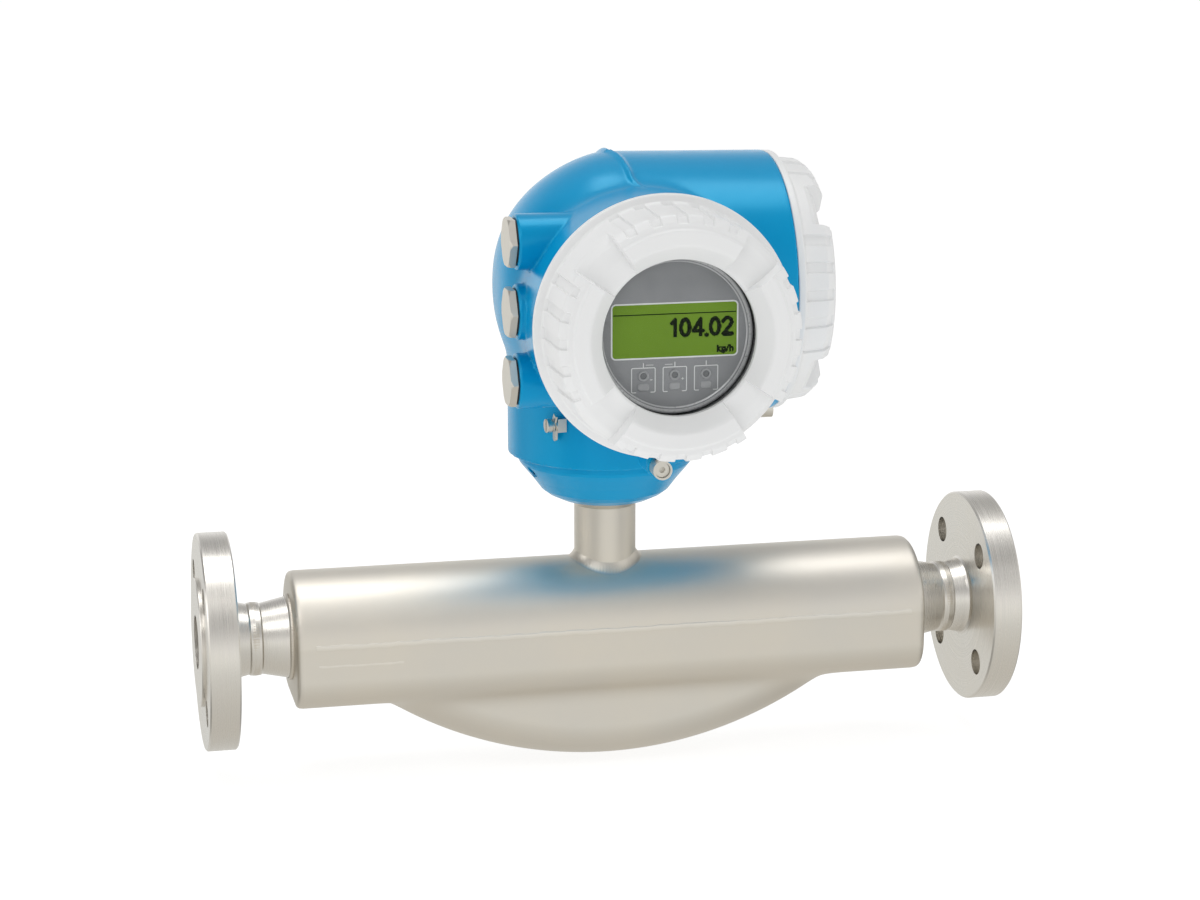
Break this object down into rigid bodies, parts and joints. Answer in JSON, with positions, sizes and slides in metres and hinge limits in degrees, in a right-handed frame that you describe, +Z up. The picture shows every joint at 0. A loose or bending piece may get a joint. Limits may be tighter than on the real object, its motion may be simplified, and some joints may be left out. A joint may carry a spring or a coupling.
{
  "type": "coriolis flow meter",
  "caption": "Inline flow meter: bent flow tubes in a welded steel housing between weld-neck flanges, with a turnable cast transmitter that has a round display window and screwed covers.",
  "frame": {"origin": "centre of the inlet flange's raised sealing face", "axes": "+X along the pipe in the flow direction, +Z up from the pipe through the neck to the transmitter, -Y towards the side that the display faces"},
  "size_m": [0.44, 0.2033, 0.3325],
  "materials": {
    "flange_steel": "fine-turned, satin",
    "body_steel": "bead-blasted, warm satin",
    "tube_steel": "drawn tube, satin",
    "copper": "lacquered winding",
    "magnet": "nickel plated",
    "black_plastic": "matt",
    "blue_paint": "smooth powder coat, semi-gloss",
    "white_paint": "smooth powder coat, semi-gloss",
    "rubber": "matt",
    "bright_steel": "machined, satin",
    "grey_plastic": "matt",
    "screen_plastic": "glossy, transflective",
    "window_glass": "clear, polished",
    "black_metal": "satin black"
  },
  "bodies": {
    "sensor": {"inlet_flange": "flange_steel", "outlet_flange": "flange_steel", "inlet_splitter": "body_steel", "outlet_splitter": "body_steel", "inlet_end_plate": "body_steel", "outlet_end_plate": "body_steel", "upper_shell": "body_steel", "lower_shell": "body_steel", "front_flow_tube": "tube_steel", "rear_flow_tube": "tube_steel", "inlet_brace_plate": "tube_steel", "outlet_brace_plate": "tube_steel", "drive_coil": "copper", "drive_magnet": "magnet", "inlet_pickoff_coil": "copper", "inlet_pickoff_magnet": "magnet", "outlet_pickoff_coil": "copper", "outlet_pickoff_magnet": "magnet", "temperature_sensor": "black_plastic", "neck_tube": "body_steel", "feedthrough": "black_plastic", "base_adapter": "blue_paint", "swivel_lock_screw": "bright_steel"},
    "transmitter": {"transmitter_housing": "blue_paint", "swivel_seal": "rubber", "blanking_plug_1": "bright_steel", "blanking_plug_2": "bright_steel", "blanking_plug_3": "bright_steel", "plug_seal_1": "rubber", "plug_seal_2": "rubber", "plug_seal_3": "rubber", "ground_bracket": "bright_steel", "ground_screw": "bright_steel", "display_clamp": "bright_steel", "display_clamp_screw": "bright_steel", "connection_clamp": "bright_steel", "connection_clamp_screw": "bright_steel", "electronics_module": "black_plastic", "display_carrier": "grey_plastic", "carrier_screws": "bright_steel", "terminal_block": "grey_plastic", "terminal_screws": "bright_steel"},
    "display_unit": {"display_module": "grey_plastic", "screen": "screen_plastic", "optical_keys": "black_plastic"},
    "display_seal": {"display_cover_seal": "rubber"},
    "display_lid": {"display_cover": "white_paint", "window_glass": "window_glass", "glass_ring": "black_metal"},
    "connection_seal": {"connection_cover_seal": "rubber"},
    "connection_lid": {"connection_cover": "white_paint"}
  },
  "joints": [
    {"name": "transmitter_turn", "type": "hinge", "parent": "sensor", "child": "transmitter", "pos_m": [0.22, 0, 0.09], "axis": [0, 0, 1], "range_deg": [-175, 175]},
    {"name": "display_unit_turn", "type": "hinge", "parent": "transmitter", "child": "display_unit", "pos_m": [0.2272, -0.115, 0.178], "axis": [0, -1, 0], "range_deg": [-175, 175]},
    {"name": "display_cover_travel", "type": "slide", "parent": "transmitter", "child": "display_seal", "axis": [0, -1, 0], "range_m": [0, 0.0101]},
    {"name": "display_cover_turn", "type": "hinge", "parent": "display_seal", "child": "display_lid", "pos_m": [0.2272, -0.105, 0.178], "axis": [0, -1, 0], "range_deg": [0, 1800]},
    {"name": "connection_cover_travel", "type": "slide", "parent": "transmitter", "child": "connection_seal", "axis": [1, 0, 0], "range_m": [0, 0.0101]},
    {"name": "connection_cover_turn", "type": "hinge", "parent": "connection_seal", "child": "connection_lid", "pos_m": [0.309, -0.008, 0.1835], "axis": [1, 0, 0], "range_deg": [0, 1800]}
  ],
  "couplings": [
    {"joint": "display_cover_travel", "follows": "display_cover_turn", "m_per_rad": 0.00031831},
    {"joint": "connection_cover_travel", "follows": "connection_cover_turn", "m_per_rad": 0.00031831}
  ]
}
